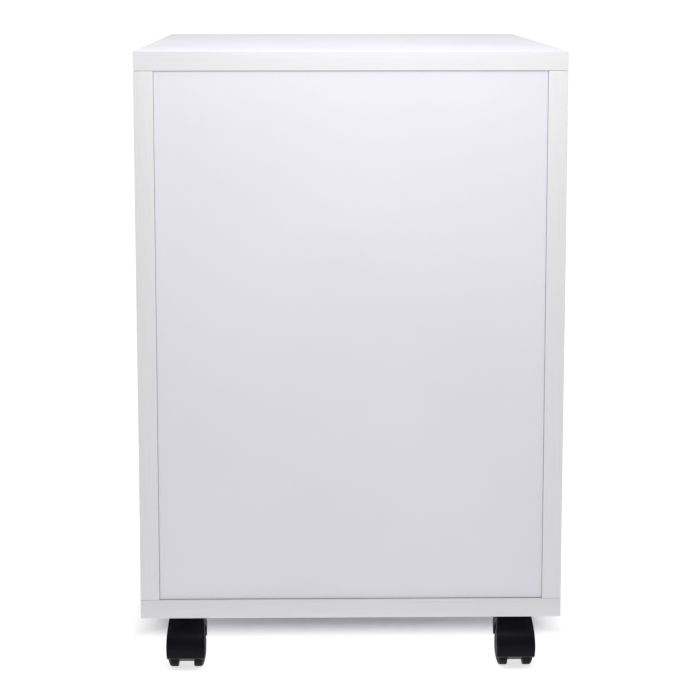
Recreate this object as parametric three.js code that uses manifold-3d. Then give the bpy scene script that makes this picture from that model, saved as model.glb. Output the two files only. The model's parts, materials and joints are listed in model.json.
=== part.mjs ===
// Rolling pedestal cabinet: a board carcass with a box drawer over a file drawer, on four
// twin-wheel castors. Millimetres, +Z up, drawers towards -Y, origin on the floor at the
// centre of the outer box.

import * as THREE from "three";
import { mergeVertices } from "three/addons/utils/BufferGeometryUtils.js";
import Module from "manifold-3d";

const wasm = await Module();
wasm.setup();

// Driving dimensions
const width = 400;
const height = 591;
const board = 18;
const castorHeight = 54;
const topDepth = 560;
const pullProjection = 28;
const frontGap = 3;
const fileFrontHeight = 315;

// Carcass
const halfWidth = width / 2;
const pullFrontY = -(topDepth + pullProjection) / 2;
const frontY = pullFrontY + pullProjection;
const rearY = frontY + topDepth;
const closedGap = 2;
const carcassFrontY = frontY + board + closedGap;
const innerHalf = halfWidth - board;
const floorZ = castorHeight + board;
const ceilingZ = height - board;
const backThickness = 15;
const backInset = 2;
const jointGap = 0.4;
const railDepth = 80;

// Drawers
const frontHalf = halfWidth - 1.5;
const fileFrontZ = castorHeight + 1;
const boxFrontZ = fileFrontZ + fileFrontHeight + frontGap;
const boxFrontHeight = ceilingZ - frontGap - boxFrontZ;
const sideAboveFront = 23;
const runnerSpace = 12.5;
const drawerBoard = 12;
const drawerHalf = innerHalf - runnerSpace;
const drawerInnerHalf = drawerHalf - drawerBoard;
const drawerFrontY = frontY + board;
const drawerLength = 500;
const drawerRearY = drawerFrontY + drawerLength;
const boxSideHeight = 120;
const fileSideHeight = 250;
const bottomThickness = 5;
const bottomUp = 10;
const grooveDepth = 5.5;
const grooveGap = 0.3;

// Pulls
const pullCentres = 128;
const pullRadius = 5;
const pullBend = 10;
const pullBelowEdge = 70;

// Roller runners, in distance from the side panel (u) and height over the drawer side (z)
const sheet = 1.2;
const rollerRadius = 9;
const rollerBore = 2.6;
const rollerAxisZ = 6;
const rollerInner = 3;
const rollerOuter = 9;
const pinRadius = 2.3;
const pinHeadRadius = 4;
const cabinetRollerY = -234;
const drawerRollerY = 244;
const runnerSetback = 2;
const shelfDrop = 4.5;
const shelfReach = 10;
const lipRise = 17.5;
const lipReach = 9;
const wingRise = 15.3;
const wingStart = 2.5;
const footReach = 11.5;
const pinHeadThickness = 0.8;

// Lock
const lockX = 120;
const lockBelowEdge = 35;
const lockBarrelRadius = 9.3;
const lockFlangeRadius = 11.5;
const lockFlange = 2.5;
const lockBore = 6.2;
const lockPlugRadius = 5.9;
const camLength = 30;
const camHalfWidth = 5;
const camHubRadius = 6.5;
const camThickness = 2;
const camY = -237;
const camSlotClearance = 3;
const camSlotReach = 26;
const camSlotTop = 5;
const keySlotHalf = 3.6;
const keySlotDepth = 8;
const keySlotHalfHeight = 0.8;

// Castors, each about its own swivel axis with the wheels trailing towards local +Y
const castorX = 158;
const castorInset = 42;
const wheelRadius = 20;
const trail = 18;
const wheelInner = 7.5;
const wheelTread = 16;
const wheelDome = 18.8;
const wellRadius = 21;
const hoodRadius = 23.5;
const hoodHalf = 17;
const webHalf = 7;
const crownZ = 51;
const plateHalf = 20;
const plateThickness = 2.5;
const kingpinRadius = 4;
const axleRadius = 2.4;
const slack = 0.3;
const hoodLipAngle = -15;
const hoodCrownAngle = 62;
const crownRearY = 13;
const noseY = -14;
const bodyBevel = 2;
const socketFloorZ = 37;
const plateHole = 15;
const plateHoleRadius = 2.2;
const axleHalf = 14;
const leverPivotY = 21;
const leverPivotZ = 43.4;
const leverHalf = 8.5;
const leverEye = 2.4;
const leverPinRadius = 1.6;
const leverPinHalf = 13.5;
const leverRoomRadius = 20.2;
const leverRoomLow = 12;

const whiteBoard = new THREE.MeshStandardMaterial({ color: 0xecebf1, roughness: 0.5 });
const drawerMelamine = new THREE.MeshStandardMaterial({ color: 0xe3e2e0, roughness: 0.6 });
const epoxySteel = new THREE.MeshStandardMaterial({ color: 0xe8e8e6, roughness: 0.4 });
const whiteNylon = new THREE.MeshStandardMaterial({ color: 0xdedcd5, roughness: 0.5 });
const zincSteel = new THREE.MeshStandardMaterial({
  color: 0xb4b6b8, roughness: 0.35, metalness: 1,
});
const satinNickel = new THREE.MeshStandardMaterial({
  color: 0xb9b6af, roughness: 0.3, metalness: 1,
});
const blackNylon = new THREE.MeshStandardMaterial({ color: 0x1a1a1e, roughness: 0.45 });
const treadNylon = new THREE.MeshStandardMaterial({ color: 0x141417, roughness: 0.55 });

const cabinet = new THREE.Group();
cabinet.name = "rolling_pedestal_cabinet";

function add(name, geometry, material) {
  const mesh = new THREE.Mesh(geometry, material);
  mesh.name = name;
  cabinet.add(mesh);
}

function solid(geometry) {
  const plain = geometry.clone();
  plain.deleteAttribute("normal");
  plain.deleteAttribute("uv");
  const merged = mergeVertices(plain, 1e-4);
  return new wasm.Manifold(new wasm.Mesh({
    numProp: 3,
    vertProperties: new Float32Array(merged.attributes.position.array),
    triVerts: new Uint32Array(merged.index.array),
  }));
}

function geometryOf(body) {
  const mesh = body.getMesh();
  const geometry = new THREE.BufferGeometry();
  geometry.setAttribute("position", new THREE.BufferAttribute(mesh.vertProperties, 3));
  geometry.setIndex(new THREE.BufferAttribute(mesh.triVerts, 1));
  return geometry;
}

function block(x0, x1, y0, y1, z0, z1) {
  const geometry = new THREE.BoxGeometry(x1 - x0, y1 - y0, z1 - z0);
  return geometry.translate((x0 + x1) / 2, (y0 + y1) / 2, (z0 + z1) / 2);
}

// A cylinder along X, from x0 to x1, about the line through (y, z)
function barX(x0, x1, y, z, radius, sides = 24) {
  const geometry = new THREE.CylinderGeometry(radius, radius, x1 - x0, sides);
  return geometry.rotateZ(-Math.PI / 2).translate((x0 + x1) / 2, y, z);
}

// A cylinder along Y, from y0 to y1, about the line through (x, z)
function barY(y0, y1, x, z, radius, sides = 32) {
  const geometry = new THREE.CylinderGeometry(radius, radius, y1 - y0, sides);
  return geometry.translate(0, (y0 + y1) / 2, 0).translate(x, 0, z);
}

// A cylinder along Z, from z0 to z1, about the line through (x, y)
function barZ(z0, z1, x, y, radius, sides = 24) {
  const geometry = new THREE.CylinderGeometry(radius, radius, z1 - z0, sides);
  return geometry.rotateX(Math.PI / 2).translate(x, y, (z0 + z1) / 2);
}

// An outline drawn in Y and Z, extruded along X from x0 to x1
function plateX(shape, x0, x1, curveSegments = 10) {
  const options = { depth: x1 - x0, bevelEnabled: false, curveSegments };
  const geometry = new THREE.ExtrudeGeometry(shape, options);
  const turn = new THREE.Matrix4().set(0, 0, 1, x0, 1, 0, 0, 0, 0, 1, 0, 0, 0, 0, 0, 1);
  return geometry.applyMatrix4(turn);
}

// An outline drawn in X and Z, extruded along Y from y0 to y1
function plateY(shape, y0, y1, curveSegments = 10) {
  const options = { depth: y1 - y0, bevelEnabled: false, curveSegments };
  const geometry = new THREE.ExtrudeGeometry(shape, options);
  return geometry.rotateX(Math.PI / 2).translate(0, y1, 0);
}

function outline(points) {
  return new THREE.Shape(points.map(([a, b]) => new THREE.Vector2(a, b)));
}

function addCarcass() {
  const camSlot = solid(block(
    lockX - camHalfWidth - camSlotClearance, lockX + camSlotReach,
    camY - camSlotClearance + 1, camY + camThickness + camSlotClearance - 1,
    ceilingZ - board - 1, ceilingZ - camSlotTop,
  ));
  const rail = solid(block(
    -innerHalf, innerHalf, carcassFrontY, carcassFrontY + railDepth,
    ceilingZ - board, ceilingZ,
  ));
  add("top_panel", block(-halfWidth, halfWidth, frontY, rearY, ceilingZ, height), whiteBoard);
  add("bottom_panel",
    block(-halfWidth, halfWidth, carcassFrontY, rearY, castorHeight, floorZ), whiteBoard);
  add("side_panel_left",
    block(-halfWidth, -innerHalf, carcassFrontY, rearY, floorZ, ceilingZ), whiteBoard);
  add("side_panel_right",
    block(innerHalf, halfWidth, carcassFrontY, rearY, floorZ, ceilingZ), whiteBoard);
  add("back_panel", block(
    -innerHalf + jointGap, innerHalf - jointGap,
    rearY - backInset - backThickness, rearY - backInset,
    floorZ + jointGap, ceilingZ - jointGap,
  ), whiteBoard);
  add("front_rail", geometryOf(rail.subtract(camSlot)), whiteBoard);
}

// The profiles are drawn for the right side (+X) and turned over for the left by reversing
// the sign of X in the points themselves, so that every solid keeps its faces outwards.
function runnerProfile(side, points) {
  const placed = points.map(([u, z]) => [side * (innerHalf - u), z]);
  return outline(side > 0 ? placed : placed.reverse());
}

function addCabinetRunner(drawer, sideName, side, sideZ) {
  const shelfZ = sideZ - shelfDrop;
  const lipZ = sideZ + lipRise;
  const startY = carcassFrontY + runnerSetback;
  const profile = runnerProfile(side, [
    [0, shelfZ], [shelfReach, shelfZ], [shelfReach, shelfZ + sheet],
    [sheet, shelfZ + sheet], [sheet, lipZ], [lipReach, lipZ],
    [lipReach, lipZ + sheet], [0, lipZ + sheet],
  ]);
  const channel = solid(plateY(profile, startY, startY + drawerLength));
  const axisZ = sideZ + rollerAxisZ;
  const reach = [sheet / 2, rollerOuter + 1].map((u) => side * (innerHalf - u));
  const head = [rollerOuter + slack, rollerOuter + 1].map((u) => side * (innerHalf - u));
  const pin = solid(barX(Math.min(...reach), Math.max(...reach),
    cabinetRollerY, axisZ, pinRadius, 16));
  const pinHead = solid(barX(Math.min(...head), Math.max(...head),
    cabinetRollerY, axisZ, pinHeadRadius, 16));
  add(`cabinet_runner_${drawer}_${sideName}`,
    geometryOf(channel.add(pin).add(pinHead)), epoxySteel);
  addRoller(`cabinet_roller_${drawer}_${sideName}`, side, cabinetRollerY, axisZ);
}

function addDrawerRunner(drawer, sideName, side, sideZ) {
  const wall = runnerSpace;
  const wingZ = sideZ + wingRise;
  const profile = runnerProfile(side, [
    [wingStart, wingZ], [wall - sheet, wingZ], [wall - sheet, sideZ - sheet],
    [wall + footReach, sideZ - sheet], [wall + footReach, sideZ], [wall, sideZ],
    [wall, wingZ + sheet], [wingStart, wingZ + sheet],
  ]);
  const member = solid(plateY(profile, drawerFrontY, drawerRearY));
  const axisZ = sideZ + rollerAxisZ;
  const headStart = rollerInner - pinHeadThickness;
  const reach = [headStart, wall - sheet / 2].map((u) => side * (innerHalf - u));
  const head = [headStart, rollerInner - slack].map((u) => side * (innerHalf - u));
  const pin = solid(barX(Math.min(...reach), Math.max(...reach),
    drawerRollerY, axisZ, pinRadius, 16));
  const pinHead = solid(barX(Math.min(...head), Math.max(...head),
    drawerRollerY, axisZ, pinHeadRadius, 16));
  add(`${drawer}_drawer_runner_${sideName}`,
    geometryOf(member.add(pin).add(pinHead)), epoxySteel);
  addRoller(`${drawer}_drawer_roller_${sideName}`, side, drawerRollerY, axisZ);
}

function addRoller(name, side, y, z) {
  const edge = 0.8;
  const halfThick = (rollerOuter - rollerInner) / 2;
  const section = [
    [rollerBore, -halfThick], [rollerRadius - edge, -halfThick],
    [rollerRadius, -halfThick + edge], [rollerRadius, halfThick - edge],
    [rollerRadius - edge, halfThick], [rollerBore, halfThick], [rollerBore, -halfThick],
  ].map(([r, a]) => new THREE.Vector2(r, a));
  const centre = side * (innerHalf - (rollerInner + rollerOuter) / 2);
  const geometry = new THREE.LatheGeometry(section, 24).rotateZ(-Math.PI / 2);
  add(name, geometry.translate(centre, y, z), whiteNylon);
}

function pullGeometry(z) {
  const half = pullCentres / 2;
  const barLine = pullFrontY + pullRadius;
  const bendY = barLine + pullBend;
  const at = (x, y) => new THREE.Vector3(x, y, z);
  const path = new THREE.CurvePath();
  path.add(new THREE.LineCurve3(at(-half, frontY), at(-half, bendY)));
  path.add(new THREE.QuadraticBezierCurve3(
    at(-half, bendY), at(-half, barLine), at(-half + pullBend, barLine)));
  path.add(new THREE.LineCurve3(at(-half + pullBend, barLine), at(half - pullBend, barLine)));
  path.add(new THREE.QuadraticBezierCurve3(
    at(half - pullBend, barLine), at(half, barLine), at(half, bendY)));
  path.add(new THREE.LineCurve3(at(half, bendY), at(half, frontY)));
  const section = new THREE.Shape().absarc(0, 0, pullRadius, 0, 2 * Math.PI);
  return new THREE.ExtrudeGeometry(section, {
    extrudePath: path, steps: 36, curveSegments: 6, bevelEnabled: false,
  });
}

function addDrawer(name, frontZ, frontHeight, sideHeight, frontGeometry) {
  const sideZ = frontZ + sideAboveFront;
  const bottomZ = sideZ + bottomUp;
  const groove = solid(block(
    -drawerInnerHalf - grooveDepth, drawerInnerHalf + grooveDepth,
    drawerFrontY - 1, drawerRearY + 1,
    bottomZ - grooveGap, bottomZ + bottomThickness + grooveGap,
  ));
  add(`${name}_drawer_front`, frontGeometry, whiteBoard);
  for (const [sideName, side] of [["left", -1], ["right", 1]]) {
    const edges = [side * drawerInnerHalf, side * drawerHalf];
    const plank = solid(block(Math.min(...edges), Math.max(...edges),
      drawerFrontY, drawerRearY, sideZ, sideZ + sideHeight));
    add(`${name}_drawer_side_${sideName}`, geometryOf(plank.subtract(groove)), drawerMelamine);
    addDrawerRunner(name, sideName, side, sideZ);
    addCabinetRunner(name, sideName, side, sideZ);
  }
  add(`${name}_drawer_back`, block(
    -drawerInnerHalf, drawerInnerHalf, drawerRearY - drawerBoard, drawerRearY,
    bottomZ + bottomThickness, sideZ + sideHeight,
  ), drawerMelamine);
  add(`${name}_drawer_bottom`, block(
    -drawerInnerHalf - grooveDepth + grooveGap, drawerInnerHalf + grooveDepth - grooveGap,
    drawerFrontY, drawerRearY, bottomZ, bottomZ + bottomThickness,
  ), drawerMelamine);
  add(`${name}_drawer_pull`, pullGeometry(frontZ + frontHeight - pullBelowEdge), satinNickel);
}

function addDrawers() {
  const lockZ = boxFrontZ + boxFrontHeight - lockBelowEdge;
  const boxFront = solid(block(
    -frontHalf, frontHalf, frontY, drawerFrontY, boxFrontZ, boxFrontZ + boxFrontHeight,
  ));
  const lockHole = solid(
    barY(frontY - 1, drawerFrontY + 1, lockX, lockZ, lockBarrelRadius + slack));
  const fileFront = block(
    -frontHalf, frontHalf, frontY, drawerFrontY, fileFrontZ, fileFrontZ + fileFrontHeight,
  );
  addDrawer("box", boxFrontZ, boxFrontHeight, boxSideHeight,
    geometryOf(boxFront.subtract(lockHole)));
  addDrawer("file", fileFrontZ, fileFrontHeight, fileSideHeight, fileFront);
  addFolderRails(fileFrontZ + sideAboveFront + fileSideHeight);
  addLock(lockZ);
}

// Two strips stand over the file drawer's sides and carry the hooks of hanging folders
function addFolderRails(topZ) {
  const railThickness = 2;
  const railUp = 8;
  const railDown = 16;
  for (const [sideName, side] of [["left", -1], ["right", 1]]) {
    const edges = [side * drawerInnerHalf, side * (drawerInnerHalf - railThickness)];
    add(`folder_rail_${sideName}`, block(
      Math.min(...edges), Math.max(...edges),
      drawerFrontY + 1, drawerRearY - drawerBoard - 1, topZ - railDown, topZ + railUp,
    ), epoxySteel);
  }
}

function addLock(z) {
  const barrelEndY = camY - 1;
  const flange = solid(
    barY(frontY - lockFlange, frontY - 0.1, lockX, z, lockFlangeRadius));
  const barrel = solid(barY(frontY - 1, barrelEndY, lockX, z, lockBarrelRadius));
  const bore = solid(barY(frontY - lockFlange - 1, barrelEndY + 1, lockX, z, lockBore));
  add("lock_barrel", geometryOf(flange.add(barrel).subtract(bore)), satinNickel);

  const camShape = new THREE.Shape();
  const camTipX = lockX + camLength - camHalfWidth;
  const quarter = Math.PI / 2;
  camShape.absarc(lockX, z, camHubRadius, quarter, 3 * quarter, false);
  camShape.absarc(camTipX, z, camHalfWidth, -quarter, quarter, false);
  camShape.closePath();
  const cam = solid(plateY(camShape, camY, camY + camThickness));
  const plug = solid(barY(frontY - lockFlange + 0.4, camY + 0.5, lockX, z, lockPlugRadius));
  const keySlot = solid(block(
    lockX - keySlotHalf, lockX + keySlotHalf,
    frontY - lockFlange - 1, frontY + keySlotDepth,
    z - keySlotHalfHeight, z + keySlotHalfHeight,
  ));
  add("lock_plug", geometryOf(plug.add(cam).subtract(keySlot)), satinNickel);
}

function circleY(degrees, radius) {
  return trail + radius * Math.cos(THREE.MathUtils.degToRad(degrees));
}

function circleZ(degrees, radius) {
  return wheelRadius + radius * Math.sin(THREE.MathUtils.degToRad(degrees));
}

function housingSolid(withBrake) {
  const side = new THREE.Shape();
  side.moveTo(circleY(hoodLipAngle, hoodRadius), circleZ(hoodLipAngle, hoodRadius));
  side.absarc(trail, wheelRadius, hoodRadius, THREE.MathUtils.degToRad(hoodLipAngle),
    THREE.MathUtils.degToRad(hoodCrownAngle), false);
  side.quadraticCurveTo(20, crownZ - 3, crownRearY, crownZ);
  side.lineTo(noseY + 3, crownZ);
  side.quadraticCurveTo(noseY, crownZ, noseY, crownZ - 4);
  side.lineTo(noseY + 1, 33);
  side.lineTo(-2, 22);
  side.lineTo(3, 10);
  side.lineTo(30, 8);
  side.closePath();
  const shell = new THREE.ExtrudeGeometry(side, {
    depth: 2 * hoodHalf - 2 * bodyBevel, curveSegments: 8,
    bevelEnabled: true, bevelThickness: bodyBevel, bevelSize: bodyBevel,
    bevelOffset: -bodyBevel, bevelSegments: 2,
  });
  const turn = new THREE.Matrix4().set(
    0, 0, 1, -hoodHalf + bodyBevel, 1, 0, 0, 0, 0, 1, 0, 0, 0, 0, 0, 1);
  let housing = solid(shell.applyMatrix4(turn));
  for (const [x0, x1] of [[webHalf, hoodHalf + 1], [-hoodHalf - 1, -webHalf]]) {
    housing = housing.subtract(solid(barX(x0, x1, trail, wheelRadius, wellRadius, 36)));
  }
  housing = housing.subtract(solid(
    barX(-webHalf - 1, webHalf + 1, trail, wheelRadius, axleRadius + slack, 16)));
  housing = housing.subtract(solid(
    barZ(socketFloorZ, crownZ + 1, 0, 0, kingpinRadius + slack + 0.1)));
  if (withBrake) {
    housing = housing.subtract(leverRoom());
  }
  return housing;
}

// The hood is open between its cheeks where the brake lever lies, and drilled for its pin
function leverRoom() {
  const reach = 60;
  const room = new THREE.Shape();
  room.moveTo(trail, reach);
  room.lineTo(trail, circleZ(90, leverRoomRadius));
  room.absarc(trail, wheelRadius, leverRoomRadius,
    Math.PI / 2, THREE.MathUtils.degToRad(leverRoomLow), true);
  room.lineTo(reach, circleZ(leverRoomLow, leverRoomRadius) + 2);
  room.lineTo(reach, reach);
  room.closePath();
  const gap = solid(plateX(room, -leverHalf - 0.7, leverHalf + 0.7));
  const pinHole = solid(barX(-leverPinHalf - 1, leverPinHalf + 1,
    leverPivotY, leverPivotZ, leverPinRadius + slack, 12));
  return gap.add(pinHole);
}

function leverSolid() {
  const lever = new THREE.Shape();
  lever.moveTo(leverPivotY + 3, 41.2);
  lever.lineTo(33, 38.2);
  lever.lineTo(38, 36.6);
  lever.lineTo(47.5, 34);
  lever.quadraticCurveTo(49, 35.4, 47.8, 36.8);
  lever.lineTo(36, 40.7);
  lever.quadraticCurveTo(29, 43.6, 22, 45.8);
  lever.absarc(leverPivotY, leverPivotZ, leverEye, Math.PI * 0.4, Math.PI * 1.6, false);
  lever.closePath();
  const pedal = solid(plateX(lever, -leverHalf, leverHalf));
  return pedal.add(solid(
    barX(-leverPinHalf, leverPinHalf, leverPivotY, leverPivotZ, leverPinRadius, 12)));
}

// Profile of one wheel from its blind bore outwards: flat inner face, tread, domed outer face
function wheelGeometry(side) {
  const boreDepth = 15;
  const bore = axleRadius + slack;
  const section = [
    [0, boreDepth], [bore, boreDepth], [bore, wheelInner], [19.2, wheelInner],
    [wheelRadius, wheelInner + 0.8], [wheelRadius, wheelTread - 2],
    [19, wheelTread - 0.2], [15, wheelTread + 1.4], [9, wheelDome - 0.3], [0, wheelDome],
  ].map(([r, a]) => new THREE.Vector2(r, a));
  const geometry = new THREE.LatheGeometry(section, 24).rotateZ(-Math.PI / 2);
  if (side < 0) {
    geometry.rotateZ(Math.PI);
  }
  return geometry.translate(0, trail, wheelRadius);
}

function addCastor(name, x, y, facing, withBrake) {
  const place = new THREE.Matrix4().makeScale(facing, facing, 1).setPosition(x, y, 0);
  const put = (node, geometry, material) => add(node, geometry.applyMatrix4(place), material);
  const plateZ = castorHeight - plateThickness;
  let plate = solid(block(-plateHalf, plateHalf, -plateHalf, plateHalf, plateZ, castorHeight));
  plate = plate.add(solid(barZ(socketFloorZ + 2, plateZ + 1, 0, 0, kingpinRadius)));
  for (const holeX of [-plateHole, plateHole]) {
    for (const holeY of [-plateHole, plateHole]) {
      plate = plate.subtract(solid(
        barZ(plateZ - 1, castorHeight + 1, holeX, holeY, plateHoleRadius, 12)));
    }
  }
  put(`castor_plate_${name}`, geometryOf(plate), zincSteel);
  put(`castor_housing_${name}`, geometryOf(housingSolid(withBrake)), blackNylon);
  put(`castor_axle_${name}`, barX(-axleHalf, axleHalf, trail, wheelRadius, axleRadius, 16), zincSteel);
  put(`castor_wheel_${name}_${facing > 0 ? "a" : "b"}`, wheelGeometry(1), treadNylon);
  put(`castor_wheel_${name}_${facing > 0 ? "b" : "a"}`, wheelGeometry(-1), treadNylon);
  if (withBrake) {
    put(`brake_lever_${name}`, geometryOf(leverSolid()), blackNylon);
  }
}

function addCastors() {
  const rearCastorY = rearY - castorInset;
  const frontCastorY = carcassFrontY + castorInset;
  addCastor("front_left", -castorX, frontCastorY, -1, true);
  addCastor("front_right", castorX, frontCastorY, -1, true);
  addCastor("rear_left", -castorX, rearCastorY, 1, false);
  addCastor("rear_right", castorX, rearCastorY, 1, false);
}

addCarcass();
addDrawers();
addCastors();

export default cabinet;
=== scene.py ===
import json
import math

import bpy
from mathutils import Matrix, Vector


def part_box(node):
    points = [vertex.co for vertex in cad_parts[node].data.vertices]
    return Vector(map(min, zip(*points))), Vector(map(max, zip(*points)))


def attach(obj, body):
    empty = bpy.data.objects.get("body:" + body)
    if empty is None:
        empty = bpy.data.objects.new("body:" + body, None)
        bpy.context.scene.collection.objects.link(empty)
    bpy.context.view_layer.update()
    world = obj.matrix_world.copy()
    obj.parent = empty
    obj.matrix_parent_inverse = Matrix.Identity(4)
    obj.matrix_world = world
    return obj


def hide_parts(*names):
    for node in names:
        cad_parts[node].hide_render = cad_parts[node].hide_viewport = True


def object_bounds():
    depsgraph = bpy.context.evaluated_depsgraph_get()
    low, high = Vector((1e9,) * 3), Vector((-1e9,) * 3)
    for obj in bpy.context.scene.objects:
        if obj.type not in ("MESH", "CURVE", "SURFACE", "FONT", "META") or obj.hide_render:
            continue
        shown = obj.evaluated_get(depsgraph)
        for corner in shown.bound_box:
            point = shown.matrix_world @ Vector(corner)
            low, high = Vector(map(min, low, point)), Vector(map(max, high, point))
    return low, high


# A white board pedestal on twin-wheel castors, seen from behind as it stands in a catalogue.
# Sizes are in millimetres; places come from the frame.

mm = 0.001
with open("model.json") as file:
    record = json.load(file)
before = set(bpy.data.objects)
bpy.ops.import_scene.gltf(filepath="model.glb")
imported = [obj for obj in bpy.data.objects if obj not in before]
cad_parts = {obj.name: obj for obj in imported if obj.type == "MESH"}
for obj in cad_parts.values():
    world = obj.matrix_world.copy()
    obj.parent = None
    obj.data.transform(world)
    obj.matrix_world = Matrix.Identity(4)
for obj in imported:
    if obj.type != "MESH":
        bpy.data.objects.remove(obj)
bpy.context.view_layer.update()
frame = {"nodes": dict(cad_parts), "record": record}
print("frame loaded:", len(frame["nodes"]), "nodes")


def deselectAll():
    for piece in list(bpy.context.selected_objects):
        piece.select_set(False)


def makeActive(piece):
    deselectAll()
    piece.select_set(True)
    bpy.context.view_layer.objects.active = piece


def pickBy(kind):
    bpy.context.tool_settings.mesh_select_mode = [kind == k for k in ("VERT", "EDGE", "FACE")]


def namedNew(name):
    piece = bpy.context.active_object
    piece.name = name
    piece.data.name = name
    return piece


def addBlock(name, low, high):
    deselectAll()
    low, high = Vector(low), Vector(high)
    bpy.ops.mesh.primitive_cube_add(size=1, location=(low + high) / 2)
    piece = namedNew(name)
    piece.scale = high - low
    bpy.ops.object.transform_apply(location=True, rotation=True, scale=True)
    return piece


turnTo = {"X": (0, math.pi / 2, 0), "Y": (-math.pi / 2, 0, 0), "Z": (0, 0, 0)}
unitOf = {"X": Vector((1, 0, 0)), "Y": Vector((0, 1, 0)), "Z": Vector((0, 0, 1))}
outOf = {"X": Vector((0, 0, 1)), "Y": Vector((1, 0, 0)), "Z": Vector((1, 0, 0))}


def addRod(name, centre, axis, radius, length, sides=48):
    deselectAll()
    bpy.ops.mesh.primitive_cylinder_add(
        vertices=sides, radius=radius, depth=length, location=centre, rotation=turnTo[axis])
    piece = namedNew(name)
    bpy.ops.object.transform_apply(location=True, rotation=True, scale=True)
    return piece


def drawLine(name, points):
    # One vertex is pulled from point to point, which leaves a line of edges.
    deselectAll()
    bpy.ops.mesh.primitive_plane_add(size=mm, location=points[0])
    piece = namedNew(name)
    bpy.ops.object.transform_apply(location=True, rotation=True, scale=True)
    pickBy("VERT")
    bpy.ops.object.mode_set(mode="EDIT")
    bpy.ops.mesh.select_all(action="SELECT")
    bpy.ops.mesh.merge(type="CENTER")
    for start, end in zip(points, points[1:]):
        bpy.ops.mesh.extrude_region_move(
            TRANSFORM_OT_translate={"value": Vector(end) - Vector(start)})
    bpy.ops.mesh.select_all(action="SELECT")
    return piece


def closeUp():
    bpy.ops.mesh.select_all(action="SELECT")
    bpy.ops.mesh.remove_doubles(threshold=0.003 * mm)
    bpy.ops.mesh.normals_make_consistent(inside=False)
    bpy.ops.object.mode_set(mode="OBJECT")


def turned(name, centre, axis, profile, steps=64, sign=1):
    # The profile is (radius, distance along the axis) in millimetres, from axis to axis.
    along, out = unitOf[axis] * sign, outOf[axis]
    points = [Vector(centre) + (out * radius + along * far) * mm for radius, far in profile]
    piece = drawLine(name, points)
    bpy.ops.mesh.spin(
        steps=steps, angle=2 * math.pi, center=centre, axis=unitOf[axis], dupli=False)
    closeUp()
    return piece


def outlined(name, axis, points, low, high):
    # An outline in the two other axes, in millimetres, given thickness from low to high.
    index = "XYZ".index(axis)

    def place(point):
        spot = list(point)
        spot.insert(index, low)
        return Vector(spot) * mm

    piece = drawLine(name, [place(point) for point in (*points, points[0])])
    bpy.ops.mesh.remove_doubles(threshold=0.003 * mm)
    bpy.ops.mesh.edge_face_add()
    bpy.ops.mesh.extrude_region_move(
        TRANSFORM_OT_translate={"value": unitOf[axis] * (high - low) * mm})
    closeUp()
    return piece


def arc(centre, radius, start, end, steps=12):
    angles = [math.radians(start + (end - start) * i / steps) for i in range(steps + 1)]
    return [(centre[0] + radius * math.cos(a), centre[1] + radius * math.sin(a))
            for a in angles]


def bend(start, pull, end, steps=8):
    # Points of a curve that leaves start and reaches end, drawn towards pull.
    points = []
    for index in range(1, steps + 1):
        t = index / steps
        points.append(tuple(
            (1 - t) ** 2 * a + 2 * t * (1 - t) * b + t * t * c
            for a, b, c in zip(start, pull, end)))
    return points


def editFaces(piece, wanted):
    makeActive(piece)
    pickBy("FACE")
    for part in (piece.data.vertices, piece.data.edges, piece.data.polygons):
        part.foreach_set("select", [False] * len(part))
    for face in piece.data.polygons:
        face.select = wanted(face)
    bpy.ops.object.mode_set(mode="EDIT")


def editEdges(piece, wanted):
    makeActive(piece)
    pickBy("EDGE")
    for part in (piece.data.vertices, piece.data.edges, piece.data.polygons):
        part.foreach_set("select", [False] * len(part))
    points = piece.data.vertices
    for edge in piece.data.edges:
        edge.select = wanted(points[edge.vertices[0]].co, points[edge.vertices[1]].co)
    bpy.ops.object.mode_set(mode="EDIT")


def endEdit():
    bpy.ops.object.mode_set(mode="OBJECT")


def applyModifier(piece, kind, **settings):
    makeActive(piece)
    modifier = piece.modifiers.new(kind.lower(), kind)
    for key, value in settings.items():
        setattr(modifier, key, value)
    bpy.ops.object.modifier_apply(modifier=modifier.name)


def roundEdges(piece, width, segments=3, angle=35):
    applyModifier(
        piece, "BEVEL", width=width, segments=segments, limit_method="ANGLE",
        angle_limit=math.radians(angle), harden_normals=False, use_clamp_overlap=True)


def smooth(piece, angle=32):
    makeActive(piece)
    bpy.ops.object.shade_smooth_by_angle(angle=math.radians(angle))


def combine(piece, tool, how, material=None):
    if material is not None:
        tool.data.materials.append(material)
    applyModifier(
        piece, "BOOLEAN", operation=how, solver="EXACT", object=tool,
        material_mode="INDEX" if material is None else "TRANSFER")
    bpy.data.objects.remove(tool)


def copyOf(piece, name, place):
    twin = piece.copy()
    twin.data = piece.data.copy()
    twin.name = name
    twin.data.name = name
    bpy.context.scene.collection.objects.link(twin)
    twin.data.transform(place)
    return twin


def cadCopy(node, name, weld=0.02 * mm):
    piece = copyOf(frame["nodes"][node], name, Matrix.Identity(4))
    piece.parent = None
    for key in list(piece.keys()):
        if key.startswith("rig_"):
            del piece[key]
    piece.data.materials.clear()
    makeActive(piece)
    bpy.ops.object.mode_set(mode="EDIT")
    bpy.ops.mesh.select_all(action="SELECT")
    bpy.ops.mesh.remove_doubles(threshold=weld)
    bpy.ops.mesh.customdata_custom_splitnormals_clear()
    bpy.ops.mesh.dissolve_limited(angle_limit=math.radians(0.5))
    endEdit()
    return piece


def setInPlace(piece, body, material=None, nodes=()):
    if material is not None:
        piece.data.materials.clear()
        piece.data.materials.append(material)
    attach(piece, body)
    if nodes:
        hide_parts(*nodes)
    return piece


def bodyOf(node):
    for body, members in frame["record"]["behaviour"]["bodies"].items():
        if node in members:
            return body
    return "root"


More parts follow.
